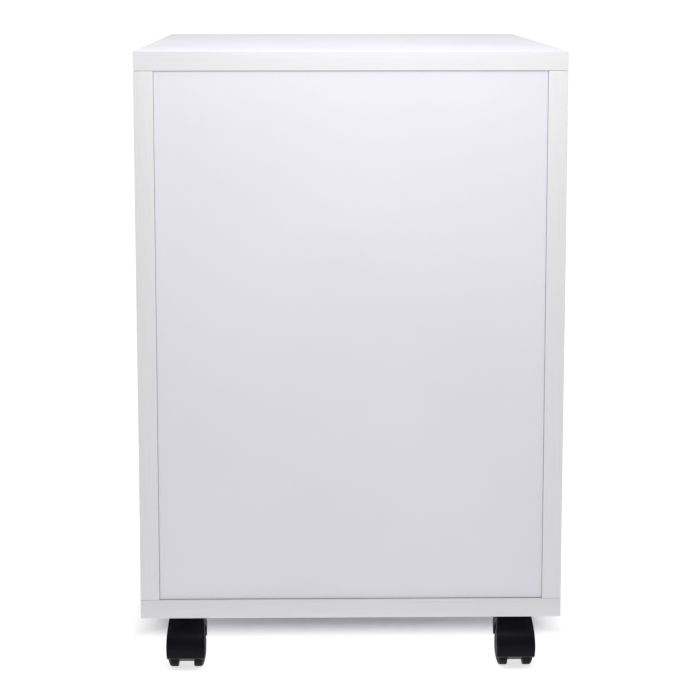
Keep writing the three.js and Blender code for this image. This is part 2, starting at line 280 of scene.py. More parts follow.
def srgb(hexColour):
    channels = [int(hexColour[i:i + 2], 16) / 255 for i in (1, 3, 5)]
    linear = [c / 12.92 if c <= 0.04045 else ((c + 0.055) / 1.055) ** 2.4 for c in channels]
    return (*linear, 1)


def addNode(tree, kind, settings=None, links=None):
    node = tree.nodes.new(kind)
    for key, value in (settings or {}).items():
        if key in node.inputs.keys():
            node.inputs[key].default_value = value
        else:
            setattr(node, key, value)
    for key, source in (links or {}).items():
        tree.links.new(source, node.inputs[key])
    return node


def newMaterial(name):
    material = bpy.data.materials.new(name)
    material.use_nodes = True
    tree = material.node_tree
    tree.nodes.clear()
    place = addNode(tree, "ShaderNodeTexCoord")
    shader = addNode(tree, "ShaderNodeBsdfPrincipled")
    addNode(tree, "ShaderNodeOutputMaterial", links={"Surface": shader.outputs["BSDF"]})
    return material, tree, place.outputs["Object"], shader


def perMetre(millimetres):
    return 1 / (millimetres * mm)


def noiseAt(tree, source, spacing, detail=2.0, stretch=(1, 1, 1)):
    mapped = addNode(tree, "ShaderNodeMapping", {"Scale": stretch}, {"Vector": source})
    return addNode(
        tree, "ShaderNodeTexNoise", {"Scale": perMetre(spacing), "Detail": detail},
        {"Vector": mapped.outputs["Vector"]})


def ramp(tree, source, stops):
    node = addNode(tree, "ShaderNodeValToRGB", links={"Fac": source})
    bar = node.color_ramp
    bar.elements[0].position, bar.elements[0].color = stops[0]
    bar.elements[1].position, bar.elements[1].color = stops[-1]
    for position, colour in stops[1:-1]:
        bar.elements.new(position).color = colour
    return node


def bumpFrom(tree, height, distance, strength=1.0):
    return addNode(
        tree, "ShaderNodeBump", {"Strength": strength, "Distance": distance * mm},
        {"Height": height})


def spread(tree, source, low, high):
    return addNode(
        tree, "ShaderNodeMapRange", {"To Min": low, "To Max": high}, {"Value": source})


melamineLook = {
    "pale": "#e3e2e9", "deep": "#e0dfe7", "cloud": 160, "pearl": 0.9, "pearlDepth": 0.006,
    "roughLow": 0.34, "roughHigh": 0.46,
}


def melamine():
    # White melamine paper pressed on chipboard: a faint cool cast, a fine pearl grain and a
    # low sheen that clouds a little where the press plate was worn.
    material, tree, place, shader = newMaterial("white melamine face")
    look = melamineLook
    cloud = noiseAt(tree, place, look["cloud"], 3)
    tone = ramp(tree, cloud.outputs["Fac"],
                [(0.35, srgb(look["deep"])), (0.65, srgb(look["pale"]))])
    tree.links.new(tone.outputs["Color"], shader.inputs["Base Color"])
    pearl = noiseAt(tree, place, look["pearl"], 3)
    rough = spread(tree, cloud.outputs["Fac"], look["roughLow"], look["roughHigh"])
    tree.links.new(rough.outputs["Result"], shader.inputs["Roughness"])
    bump = bumpFrom(tree, pearl.outputs["Fac"], look["pearlDepth"])
    tree.links.new(bump.outputs["Normal"], shader.inputs["Normal"])
    return material


bandLook = {
    "pale": "#e1e1e2", "deep": "#dddddf", "streak": 1.2, "depth": 0.004,
    "roughLow": 0.30, "roughHigh": 0.42,
}


def edgeBand(name, along):
    # Extruded ABS edge band, neutral white, with faint draw lines along its length.
    material, tree, place, shader = newMaterial(name)
    look = bandLook
    stretch = [1, 1, 1]
    stretch["XYZ".index(along)] = 0.02
    streak = noiseAt(tree, place, look["streak"], 2, stretch)
    tone = ramp(tree, streak.outputs["Fac"],
                [(0.3, srgb(look["deep"])), (0.7, srgb(look["pale"]))])
    tree.links.new(tone.outputs["Color"], shader.inputs["Base Color"])
    rough = spread(tree, streak.outputs["Fac"], look["roughLow"], look["roughHigh"])
    tree.links.new(rough.outputs["Result"], shader.inputs["Roughness"])
    bump = bumpFrom(tree, streak.outputs["Fac"], look["depth"])
    tree.links.new(bump.outputs["Normal"], shader.inputs["Normal"])
    return material


def speckled(name, pale, deep, spacing, roughness, depth, detail=3.0, metallic=0.0):
    # The common build of a plain finish: two close tones, a grain and its small bump.
    material, tree, place, shader = newMaterial(name)
    grain = noiseAt(tree, place, spacing, detail)
    tone = ramp(tree, grain.outputs["Fac"], [(0.35, srgb(deep)), (0.65, srgb(pale))])
    tree.links.new(tone.outputs["Color"], shader.inputs["Base Color"])
    rough = spread(tree, grain.outputs["Fac"], roughness - 0.05, roughness + 0.05)
    tree.links.new(rough.outputs["Result"], shader.inputs["Roughness"])
    bump = bumpFrom(tree, grain.outputs["Fac"], depth)
    tree.links.new(bump.outputs["Normal"], shader.inputs["Normal"])
    shader.inputs["Metallic"].default_value = metallic
    return material


def brushed(name, pale, deep, along, spacing, roughness):
    # Plated metal brushed along one axis: long fine scratches in tone, gloss and height.
    material, tree, place, shader = newMaterial(name)
    stretch = [1, 1, 1]
    stretch["XYZ".index(along)] = 0.03
    scratch = noiseAt(tree, place, spacing, 4, stretch)
    tone = ramp(tree, scratch.outputs["Fac"], [(0.3, srgb(deep)), (0.7, srgb(pale))])
    tree.links.new(tone.outputs["Color"], shader.inputs["Base Color"])
    rough = spread(tree, scratch.outputs["Fac"], roughness - 0.07, roughness + 0.07)
    tree.links.new(rough.outputs["Result"], shader.inputs["Roughness"])
    bump = bumpFrom(tree, scratch.outputs["Fac"], 0.004)
    tree.links.new(bump.outputs["Normal"], shader.inputs["Normal"])
    shader.inputs["Metallic"].default_value = 1.0
    return material


def chipboardEdge():
    # Raw chipboard: pale wood flakes of a few millimetres, pressed with glue between them.
    material, tree, place, shader = newMaterial("raw chipboard")
    flake = addNode(tree, "ShaderNodeTexVoronoi", {"Scale": perMetre(2.4)}, {"Vector": place})
    dust = noiseAt(tree, place, 0.7, 4)
    tone = ramp(tree, flake.outputs["Color"], [
        (0.2, srgb("#8d6c48")), (0.5, srgb("#b8976b")), (0.8, srgb("#cfb489"))])
    tree.links.new(tone.outputs["Color"], shader.inputs["Base Color"])
    bump = bumpFrom(tree, dust.outputs["Fac"], 0.15)
    tree.links.new(bump.outputs["Normal"], shader.inputs["Normal"])
    shader.inputs["Roughness"].default_value = 0.85
    return material


faceWhite = melamine()
bandX = edgeBand("edge band along the width", "X")
bandY = edgeBand("edge band along the depth", "Y")
bandZ = edgeBand("edge band upright", "Z")
glueLine = speckled("edge band glue line", "#c6c5ca", "#b9b8bd", 1.5, 0.6, 0.004)
drawerFoil = speckled("white drawer foil", "#e9e8e6", "#e3e2df", 1.1, 0.5, 0.006)
rawHdf = speckled("raw hardboard", "#a98257", "#8e6a44", 0.8, 0.75, 0.03, 5.0)
rawChip = chipboardEdge()
epoxyWhite = speckled("white epoxy coat", "#e9e9e7", "#e4e4e2", 1.6, 0.32, 0.02)
rollerNylon = speckled("natural nylon", "#dcd8cc", "#d4cfc2", 3.0, 0.42, 0.006)
zincPlate = speckled("bright zinc plate", "#c5c8cb", "#aeb1b6", 0.9, 0.30, 0.004, 4.0, 1.0)
nickelX = brushed("brushed satin nickel", "#c9c5bc", "#aeaaa1", "X", 0.35, 0.30)
nickelTurned = speckled("turned satin nickel", "#c4c0b8", "#b0aca4", 0.5, 0.26, 0.003, 3, 1.0)
castorNylon = speckled("black moulded nylon", "#0f0e15", "#0b0b11", 0.8, 0.38, 0.010)
treadNylon = speckled("black wheel nylon", "#0e0e13", "#0a0a0f", 1.2, 0.5, 0.012)
treadWorn = speckled("rolled wheel tread", "#0d0d10", "#08080a", 2.6, 0.6, 0.02, 5.0)
darkGloss = 0.10
for dark in (castorNylon, treadNylon, treadWorn):
    shader = dark.node_tree.nodes["Principled BSDF"]
    shader.inputs["Specular IOR Level"].default_value = darkGloss
clearRubber = speckled("clear rubber bumper", "#c9cdd0", "#bfc4c8", 1.0, 0.35, 0.002)
print("materials made")


boardShape = {"edgeRadius": 0.6, "bandOnFace": 1.0, "lineWidth": 0.14, "lineDepth": 0.05,
              "joint": 0.2, "fit": 0.2}


def flatFaces(board, through):
    # A board's large faces stay plane up to their groove and to any hole cut in them.
    for face in board.data.polygons:
        if abs(face.normal["XYZ".index(through)]) > 0.9999:
            face.use_smooth = False


def makeBoard(node, through, body, banded=True):
    # A board is a block; its two large faces are inset for the band's edge and a glue line.
    low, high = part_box(node)
    if node.startswith("side_panel"):
        # The top panel stands off the sides by the thickness of the joint's shadow line.
        high.z -= boardShape["joint"] * mm
    if node == "back_panel":
        # The back panel fits tightly between the sides.
        low.x -= boardShape["fit"] * mm
        high.x += boardShape["fit"] * mm
    board = addBlock(node + "_board", low, high)
    across = "XYZ".index(through)
    editFaces(board, lambda face: abs(face.normal[across]) > 0.9)
    bpy.ops.mesh.inset(thickness=boardShape["bandOnFace"] * mm, depth=0, use_individual=True)
    bpy.ops.mesh.inset(
        thickness=boardShape["lineWidth"] * mm, depth=-boardShape["lineDepth"] * mm,
        use_individual=True)
    endEdit()
    middle = (low + high) / 2
    half = (high - low) / 2

    def onCorner(first, second):
        ends = (first - middle, second - middle)
        outer = [all(abs(abs(end[i]) - half[i]) < 1e-5 for end in ends) for i in range(3)]
        return sum(outer) >= 2

    editEdges(board, onCorner)
    bpy.ops.mesh.bevel(
        offset=boardShape["edgeRadius"] * mm * (1 if banded else 0.3), segments=4,
        affect="EDGES", clamp_overlap=True)
    endEdit()
    inner = [half[i] - 1.02 * boardShape["bandOnFace"] * mm for i in range(3)]
    long = max((i for i in range(3) if i != across), key=lambda i: half[i])
    other = 3 - across - long
    board.data.materials.clear()
    for material in (faceWhite, (bandX, bandY, bandZ)[long], (bandX, bandY, bandZ)[other],
                     glueLine):
        board.data.materials.append(material)
    for face in board.data.polygons:
        spot = face.center - middle
        if abs(face.normal[across]) > 0.99 and all(
                abs(spot[i]) < inner[i] - 0.5 * mm for i in (long, other)):
            face.material_index = 0 if abs(face.normal[across]) > 0.9999 else 3
        elif abs(face.normal[long]) > 0.8:
            face.material_index = 2
        else:
            face.material_index = 1
    smooth(board, 40)
    flatFaces(board, through)
    return setInPlace(board, body, nodes=[node])


for node, through in (
        ("top_panel", "Z"), ("bottom_panel", "Z"), ("side_panel_left", "X"),
        ("side_panel_right", "X"), ("file_drawer_front", "Y")):
    makeBoard(node, through, bodyOf(node))
makeBoard("back_panel", "Y", "root", banded=False)
boxFront = makeBoard("box_drawer_front", "Y", "box_drawer")
frontRail = makeBoard("front_rail", "Z", "root")


def middleOf(node):
    low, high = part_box(node)
    return (low + high) / 2


lockShape = {
    "barrel": 9.3, "hole": 9.6, "flange": 11.5, "flangeOut": 2.5, "bore": 6.2, "plug": 5.9,
    "camHub": 6.5, "camHalf": 5, "camLength": 30, "camThick": 2, "camSet": 2.5,
    "keyHalf": 3.6, "keyThin": 0.8, "keyDeep": 9,
    "slotBefore": 8, "slotAfter": 26, "slotFront": 5, "slotRear": 1, "slotTop": 5,
}
lockLow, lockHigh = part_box("lock_barrel")
lockCentre = middleOf("lock_barrel")


def cutBoards():
    # The lock's hole in the box drawer's front, and the cam's slot in the front rail.
    hole = addRod("hole", lockCentre, "Y", lockShape["hole"] * mm, 0.1)
    combine(boxFront, hole, "DIFFERENCE", rawChip)
    smooth(boxFront, 40)
    flatFaces(boxFront, "Y")
    railLow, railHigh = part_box("front_rail")
    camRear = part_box("lock_plug")[1].y
    size = lockShape
    slot = addBlock(
        "slot",
        (lockCentre.x - size["slotBefore"] * mm, camRear - size["slotFront"] * mm,
         railLow.z - mm),
        (lockCentre.x + size["slotAfter"] * mm, camRear + size["slotRear"] * mm,
         railHigh.z - size["slotTop"] * mm))
    combine(frontRail, slot, "DIFFERENCE", rawChip)
    smooth(frontRail, 40)
    flatFaces(frontRail, "Z")


cutBoards()
print("boards made")


drawerShape = {"edge": 1.2, "bottomEdge": 0.3, "railEdge": 0.5}


def rawWhere(piece, axis, sign, material):
    # Faces of a wrapped board that look along one direction are left unwrapped.
    piece.data.materials.append(material)
    index = "XYZ".index(axis)
    for face in piece.data.polygons:
        if sign * face.normal[index] > 0.95:
            face.material_index = 1


def drawerPiece(node, edge, material, raw=None):
    piece = cadCopy(node, node + "_shaped")
    roundEdges(piece, edge * mm, 3)
    setInPlace(piece, bodyOf(node), material, [node])
    if raw is not None:
        rawWhere(piece, *raw)
    smooth(piece)
    return piece


def makeDrawers():
    for drawer in ("box", "file"):
        for side in ("left", "right"):
            drawerPiece(f"{drawer}_drawer_side_{side}", drawerShape["edge"], drawerFoil,
                        ("Y", 1, rawChip))
        drawerPiece(f"{drawer}_drawer_back", drawerShape["edge"], drawerFoil,
                    ("Z", -1, rawChip))
        drawerPiece(f"{drawer}_drawer_bottom", drawerShape["bottomEdge"], drawerFoil,
                    ("Z", -1, rawHdf))
    for side in ("left", "right"):
        drawerPiece(f"folder_rail_{side}", drawerShape["railEdge"], epoxyWhite)


makeDrawers()
print("drawer boxes made")


fastenerShape = {
    "pan": {"radius": 3.6, "height": 1.9, "cross": 3.4, "bar": 0.8, "deep": 1.1},
    "flat": {"radius": 2.9, "height": 0.85, "cross": 2.9, "bar": 0.7, "deep": 0.6},
    "wide": {"radius": 5.0, "height": 2.2, "cross": 4.0, "bar": 0.9, "deep": 1.3},
    "sunk": {"radius": 3.2, "height": 0.35, "cross": 3.0, "bar": 0.7, "deep": 0.7},
}


def makeFastener(kind):
    # A domed screw head with a cross recess, standing on the origin and looking up.
    size = fastenerShape[kind]
    radius, height = size["radius"], size["height"]
    head = turned(kind + "_screw", (0, 0, 0), "Z", [
        (0, -0.5), (radius * 0.5, -0.5), (radius * 0.5, 0), (radius, 0),
        (radius, height * 0.3), (radius * 0.92, height * 0.62), (radius * 0.7, height * 0.88),
        (radius * 0.35, height), (0, height)], 32)
    for turn in ("X", "Y"):
        reach, thin = size["cross"] / 2, size["bar"] / 2
        alongX, alongY = (reach, thin) if turn == "X" else (thin, reach)
        bar = addBlock("bar", (-alongX * mm, -alongY * mm, (height - size["deep"]) * mm),
                       (alongX * mm, alongY * mm, (height + 1) * mm))
        combine(head, bar, "DIFFERENCE")
    smooth(head, 30)
    return head


fasteners = {kind: makeFastener(kind) for kind in fastenerShape}


def addFastener(kind, name, spot, facing, body, material, spin=0):
    turn = Vector(facing).to_track_quat("Z", "Y").to_matrix().to_4x4()
    place = Matrix.Translation(spot) @ turn @ Matrix.Rotation(math.radians(spin), 4, "Z")
    piece = copyOf(fasteners[kind], name, place)
    return setInPlace(piece, body, material)


# The wall is how far the runner's web stands in from the side panel's inner face.
runnerShape = {"edge": 0.35, "screwZ": 13.3, "drawerScrewZ": 7.4, "hole": 2.3, "holeZ": 8,
               "wall": 1.2, "drawerWall": 11.3, "lift": 4.5, "drawerLift": 1.2,
               "screws": (0.14, 0.5, 0.88), "holes": (0.26, 0.6, 0.76)}
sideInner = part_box("side_panel_right")[0].x


def makeRunner(node, inner):
    # A bent steel runner: rounded bends, drilled spare holes and its screws.
    low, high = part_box(node)
    sign = 1 if low.x > 0 else -1
    piece = cadCopy(node, node + "_shaped")
    lift = low.z + runnerShape["drawerLift" if inner else "lift"] * mm
    wall = sign * (sideInner - runnerShape["drawerWall" if inner else "wall"] * mm)
    for share in runnerShape["holes"]:
        spot = (wall, low.y + share * (high.y - low.y), lift + runnerShape["holeZ"] * mm)
        drill = addRod("drill", spot, "X", runnerShape["hole"] * mm, 3.2 * mm, 24)
        combine(piece, drill, "DIFFERENCE")
    roundEdges(piece, runnerShape["edge"] * mm, 2, 40)
    smooth(piece, 35)
    setInPlace(piece, bodyOf(node), epoxyWhite, [node])
    screwZ = runnerShape["drawerScrewZ" if inner else "screwZ"] * mm
    for index, share in enumerate(runnerShape["screws"]):
        spot = (wall, low.y + share * (high.y - low.y), lift + screwZ)
        addFastener("flat", f"{node}_screw_{index}", spot, (-sign, 0, 0), bodyOf(node),
                    zincPlate, 17 * index)


rollerShape = {"radius": 9, "bore": 2.6, "half": 3, "edge": 0.9, "groove": 0.35}


def makeRoller(node):
    # A turned nylon roller: rounded rim, a sunk face round the hub on either side.
    r, b, h = rollerShape["radius"], rollerShape["bore"], rollerShape["half"]
    e, g = rollerShape["edge"], rollerShape["groove"]
    profile = [(b, -h), (b + 1.3, -h), (b + 1.6, -h + g), (r - 2.2, -h + g), (r - 1.9, -h),
               (r - e, -h)]
    profile += [(r - e + e * math.sin(a), -h + e - e * math.cos(a))
                for a in (math.pi / 8, math.pi / 4, 3 * math.pi / 8)]
    profile += [(r, -h + e)]
    profile += [(radius, -along) for radius, along in reversed(profile)]
    profile.append(profile[0])
    piece = turned(node + "_turned", middleOf(node), "X", profile, 48)
    smooth(piece, 30)
    setInPlace(piece, bodyOf(node), rollerNylon, [node])


def makeRunners():
    for drawer in ("box", "file"):
        for side in ("left", "right"):
            makeRunner(f"cabinet_runner_{drawer}_{side}", False)
            makeRunner(f"{drawer}_drawer_runner_{side}", True)
            makeRoller(f"cabinet_roller_{drawer}_{side}")
            makeRoller(f"{drawer}_drawer_roller_{side}")


makeRunners()
print("runners made")


pullShape = {"radius": 5, "bend": 11, "collar": 6.6, "collarLong": 1.6, "frontThick": 18}


def makePull(node):
    # A round bar pulled out of the front, bent, run across, bent and run back.
    low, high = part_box(node)
    radius, bend = pullShape["radius"] * mm, pullShape["bend"] * mm
    left, right = low.x + radius, high.x - radius
    z, reach = (low.z + high.z) / 2, high.y - low.y
    deselectAll()
    bpy.ops.mesh.primitive_circle_add(
        vertices=32, radius=radius, fill_type="NGON", location=(left, high.y, z),
        rotation=turnTo["Y"])
    pull = namedNew(node + "_bar")
    bpy.ops.object.transform_apply(location=True, rotation=True, scale=True)
    straight = reach - radius - bend
    pickBy("FACE")
    bpy.ops.object.mode_set(mode="EDIT")
    bpy.ops.mesh.select_all(action="SELECT")
    bpy.ops.mesh.extrude_region_move(TRANSFORM_OT_translate={"value": (0, -straight, 0)})
    bendY = high.y - straight
    bpy.ops.mesh.spin(steps=12, angle=math.pi / 2, center=(left + bend, bendY, z),
                      axis=(0, 0, -1))
    bpy.ops.mesh.extrude_region_move(
        TRANSFORM_OT_translate={"value": (right - left - 2 * bend, 0, 0)})
    bpy.ops.mesh.spin(steps=12, angle=math.pi / 2, center=(right - bend, bendY, z),
                      axis=(0, 0, -1))
    bpy.ops.mesh.extrude_region_move(TRANSFORM_OT_translate={"value": (0, straight, 0)})
    closeUp()
    smooth(pull, 40)
    body = bodyOf(node)
    setInPlace(pull, body, nickelX, [node])
    c, h = pullShape["collar"], pullShape["collarLong"]
    backY = high.y + pullShape["frontThick"] * mm
    for name, x in (("left", left), ("right", right)):
        ring = turned(f"{node}_collar_{name}", (x, high.y, z), "Y", [
            (0, 0.05), (c, 0.05), (c, h * 0.6), (c - 0.3, h * 0.88), (c - 0.9, h), (0, h)],
            48, -1)
        smooth(ring, 40)
        setInPlace(ring, body, nickelTurned)
        addFastener("wide", f"{node}_screw_{name}", (x, backY, z), (0, 1, 0), body,
                    zincPlate, 25)


def makeLock():
    # Cam lock: a turned barrel, a plug with its key slot, the cam and the nut that holds it.
    size = lockShape
    x, z = lockCentre.x, lockCentre.z
    faceY = lockLow.y
    b, f, w = size["barrel"], size["flange"], size["bore"]
    out = size["flangeOut"]
    deep = (lockHigh.y - lockLow.y) / mm
    barrel = turned("lock_barrel_turned", (x, faceY, z), "Y", [
        (w, 0.9), (w + 0.5, 0.3), (w + 1.1, 0), (f - 1.4, 0), (f - 0.6, 0.25), (f - 0.1, 0.9),
        (f, 1.5), (f, out - 0.1), (b, out - 0.1), (b, out + 2), (b - 0.35, out + 2.4),
        (b - 0.35, deep - 0.8), (b - 1, deep), (w, deep), (w, 0.9)], 72)
    smooth(barrel, 30)
    setInPlace(barrel, "box_drawer", nickelTurned, ["lock_barrel"])
    plugLow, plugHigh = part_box("lock_plug")
    p = size["plug"]
    long = (plugHigh.y - plugLow.y) / mm
    plug = turned("lock_plug_turned", (x, plugLow.y, z), "Y", [
        (0, 0), (p - 0.9, 0), (p - 0.3, 0.2), (p, 0.7), (p, long - 0.3), (p - 0.3, long),
        (0, long)], 64)
    across, thin = size["keyHalf"] * mm, size["keyThin"] * mm
    keyway = addBlock("keyway", (x - across, plugLow.y - mm, z - thin),
                      (x + across, plugLow.y + size["keyDeep"] * mm, z + thin))
    combine(plug, keyway, "DIFFERENCE")
    roundEdges(plug, 0.12 * mm, 2, 50)
    smooth(plug, 30)
    setInPlace(plug, "lock_plug", nickelTurned, ["lock_plug"])
    tip = (x / mm + size["camLength"] - size["camHalf"], z / mm)
    points = arc((x / mm, z / mm), size["camHub"], 90, 270, 20)
    points += arc(tip, size["camHalf"], -90, 90, 16)
    camLow = plugHigh.y / mm - size["camSet"]
    cam = outlined("lock_cam", "Y", points, camLow, camLow + size["camThick"])
    roundEdges(cam, 0.25 * mm, 2)
    smooth(cam)
    setInPlace(cam, "lock_plug", zincPlate)
    nut = turned("lock_nut", (x, camLow * mm + size["camThick"] * mm, z), "Y", [
        (0, -0.2), (4.4, -0.2), (4.4, 0.3), (4.0, 0.48), (0, 0.48)], 6)
    setInPlace(nut, "lock_plug", zincPlate)


for node in ("box_drawer_pull", "file_drawer_pull"):
    makePull(node)
makeLock()
print("pulls and lock made")


# A castor is modelled about its swivel axis, in millimetres, with its wheels towards +Y.
castorShape = {
    "wheel": 20, "trail": 18, "hood": 23.5, "well": 21, "half": 15.8, "web": 7, "belly": 2.7,
    "bellyZ": 25, "crown": 51, "lip": -15, "shoulder": 62, "nose": -14, "round": 1.3,
    "plate": 20, "plateCorner": 5, "plateThick": 2.5, "height": 54, "screw": 15,
    "pin": 4, "axle": 2.4, "axleHalf": 14,
}
leverShape = {"y": 21, "z": 43.4, "eye": 2.4, "half": 8.5, "pin": 1.6, "pinHalf": 13.5,
              "room": 20.2, "low": 12, "rib": 0.5}


def castorHousing(name, braked):
    c = castorShape
    axle = (c["trail"], c["wheel"])
    hood = arc(axle, c["hood"], c["lip"], c["shoulder"], 40)
    crown = c["crown"]
    points = hood + bend(hood[-1], (20, crown - 3), (13, crown)) + [(c["nose"] + 3, crown)]
    points += bend(points[-1], (c["nose"], crown), (c["nose"], crown - 4))
    points += [(c["nose"] + 1, 33), (-2, 22), (3, 10), (30, 8)]
    housing = outlined(name, "X", points, -c["half"], c["half"])
    for side in (-1, 1):
        middle = side * (c["web"] + 20)
        well = addRod("well", (middle * mm, axle[0] * mm, axle[1] * mm), "X",
                      c["well"] * mm, 40 * mm, 96)
        combine(housing, well, "DIFFERENCE")
    if braked:
        combine(housing, leverRoom(), "DIFFERENCE")
    roundEdges(housing, c["round"] * mm, 4, 42)
    for point in housing.data.vertices:
        # The cheeks belly out below the crown and draw in again at the lip, as a barrel does.
        fall = (crown - point.co.z / mm) / (crown - c["bellyZ"])
        reach = max(0, abs(point.co.x / mm) - c["web"]) / (c["half"] - c["web"])
        swell = c["belly"] * max(0, 1 - (1 - fall) ** 2) * reach
        point.co.x += math.copysign(swell * mm, point.co.x)
    smooth(housing, 30)
    return housing


def leverRoom():
    c, v = castorShape, leverShape
    axle = (c["trail"], c["wheel"])
    edge = arc(axle, v["room"], 90, v["low"], 24)
    points = [(c["trail"], 60)] + edge + [(60, edge[-1][1] + 2), (60, 60)]
    return outlined("room", "X", points, -v["half"] - 0.7, v["half"] + 0.7)


def castorLever(name):
    v = leverShape
    eye = arc((v["y"], v["z"]), v["eye"], 72, 288, 14)
    points = [(24, 41.2), (33, 38.2), (38, 36.6), (47.5, 34)]
    points += bend((47.5, 34), (49, 35.4), (47.8, 36.8), 6) + [(36, 40.7)]
    points += bend((36, 40.7), (29, 43.6), (22, 45.8), 8) + eye[1:]
    lever = outlined(name, "X", points, -v["half"], v["half"])
    roundEdges(lever, 0.6 * mm, 3, 40)
    for index in range(4):
        y = 38.5 + 2.2 * index
        z = 40.7 - (y - 36) * 0.33
        rib = addRod("rib", (0, y * mm, (z - 0.12) * mm), "X", v["rib"] * mm, 13 * mm, 16)
        combine(lever, rib, "UNION")
    smooth(lever, 30)
    return lever


def castorPlate(name):
    c = castorShape
    inner = c["plate"] - c["plateCorner"]
    points = []
    for start, (signX, signY) in zip((0, 90, 180, 270), ((1, 1), (-1, 1), (-1, -1), (1, -1))):
        points += arc((inner * signX, inner * signY), c["plateCorner"], start, start + 90, 8)
    low = c["height"] - c["plateThick"]
    plate = outlined(name, "Z", points, low, c["height"])
    roundEdges(plate, 0.5 * mm, 3, 50)
    pin = addRod("pin", (0, 0, (low - 6) * mm), "Z", c["pin"] * mm, 13 * mm, 32)
    combine(plate, pin, "UNION")
    smooth(plate, 35)
    return plate


def castorWheel(name, sign):
    c = castorShape
    centre = (0, c["trail"] * mm, c["wheel"] * mm)
    rim = c["wheel"]
    wheel = turned(name, centre, "X", [
        (0, 15), (2.7, 15), (2.7, 7.5), (5.6, 7.5), (6, 9.6), (16.2, 9.6), (16.6, 7.5),
        (rim - 0.9, 7.5), (rim - 0.4, 7.65), (rim - 0.1, 8.0), (rim, 8.5), (rim, 13.6),
        (rim - 0.12, 14.3), (rim - 0.45, 15.0), (rim - 1.0, 15.6), (18.2, 16.05),
        (17.5, 16.35), (17.2, 16.0), (16.9, 16.0), (16.6, 16.7), (15, 17.25), (12, 17.95),
        (9, 18.4), (6.2, 18.62), (5.95, 18.2), (5.6, 18.2), (5.35, 18.68), (3, 18.78),
        (0, 18.8)], 72, sign)
    smooth(wheel, 24)
    wheel.data.materials.append(treadNylon)
    wheel.data.materials.append(treadWorn)
    for face in wheel.data.polygons:
        away = Vector((0, face.center.y, face.center.z)) - Vector(centre)
        if away.length > (rim - 0.15) * mm:
            face.material_index = 1
    return wheel


def castorAxle(name):
    c = castorShape
    axle = addRod(name, (0, c["trail"] * mm, c["wheel"] * mm), "X", c["axle"] * mm,
                  2 * c["axleHalf"] * mm, 32)
    roundEdges(axle, 0.5 * mm, 2, 50)
    smooth(axle)
    return axle


def makeCastors():
    c, v = castorShape, leverShape
    plate = castorPlate("plate")
    axle = castorAxle("axle")
    wheels = {1: castorWheel("wheel right", 1), -1: castorWheel("wheel left", -1)}
    housings = {True: castorHousing("braked", True), False: castorHousing("plain", False)}
    lever = castorLever("lever")
    pin = addRod("lever pin", (0, v["y"] * mm, v["z"] * mm), "X", v["pin"] * mm,
                 2 * v["pinHalf"] * mm, 24)
    roundEdges(pin, 0.3 * mm, 2, 50)
    for end in ("front", "rear"):
        for side in ("left", "right"):
            name = f"{end}_{side}"
            centre = middleOf(f"castor_plate_{name}")
            facing = 1 if end == "rear" else -1
            place = Matrix.Translation((centre.x, centre.y, 0)) @ Matrix.Rotation(
                0 if facing > 0 else math.pi, 4, "Z")
            braked = end == "front"
            body = f"castor_{name}"
            shaped = [
                (plate, "plate", "root", "zinc_steel", zincPlate, f"castor_plate_{name}"),
                (housings[braked], "housing", body, "castor_nylon", castorNylon,
                 f"castor_housing_{name}"),
                (axle, "axle", body, "zinc_steel", zincPlate, f"castor_axle_{name}"),
            ]
            for sign, letter in ((1, "ab"[facing < 0]), (-1, "ab"[facing > 0])):
                node = f"castor_wheel_{name}_{letter}"
                shaped.append((wheels[sign], f"wheel_{letter}", node, "wheel_nylon", None, node))
            if braked:
                node = f"brake_lever_{name}"
                shaped.append((lever, "lever", node, "castor_nylon", castorNylon, node))
            for model, label, rider, slotName, material, node in shaped:
                piece = copyOf(model, f"shaped_{name}_{label}", place)
                setInPlace(piece, rider, material, [node])
            if braked:
                piece = copyOf(pin, f"shaped_{name}_lever_pin", place)
                setInPlace(piece, f"brake_lever_{name}", zincPlate)
            for index in range(4):
                offset = [c["screw"] * mm * (1 if index & bit else -1) for bit in (1, 2)]
                spot = (centre.x + offset[0], centre.y + offset[1],
                        (c["height"] - c["plateThick"]) * mm)
                addFastener("sunk", f"castor_screw_{name}_{index}", spot, (0, 0, -1), "root",
                            zincPlate, 20 * index)
    for model in (plate, axle, lever, pin, *wheels.values(), *housings.values()):
        bpy.data.objects.remove(model)


makeCastors()
print("castors made")


# Each place is a distance in from the panel's or the front's own edge.
fittingShape = {
    "cap": 8.5, "capOut": 0.6, "capLow": 62, "capHigh": 14, "capFront": 48, "capRear": 52,
    "bumper": 4, "bumperOut": 1.7, "bumperEnd": 30, "bumperSide": 7,
}


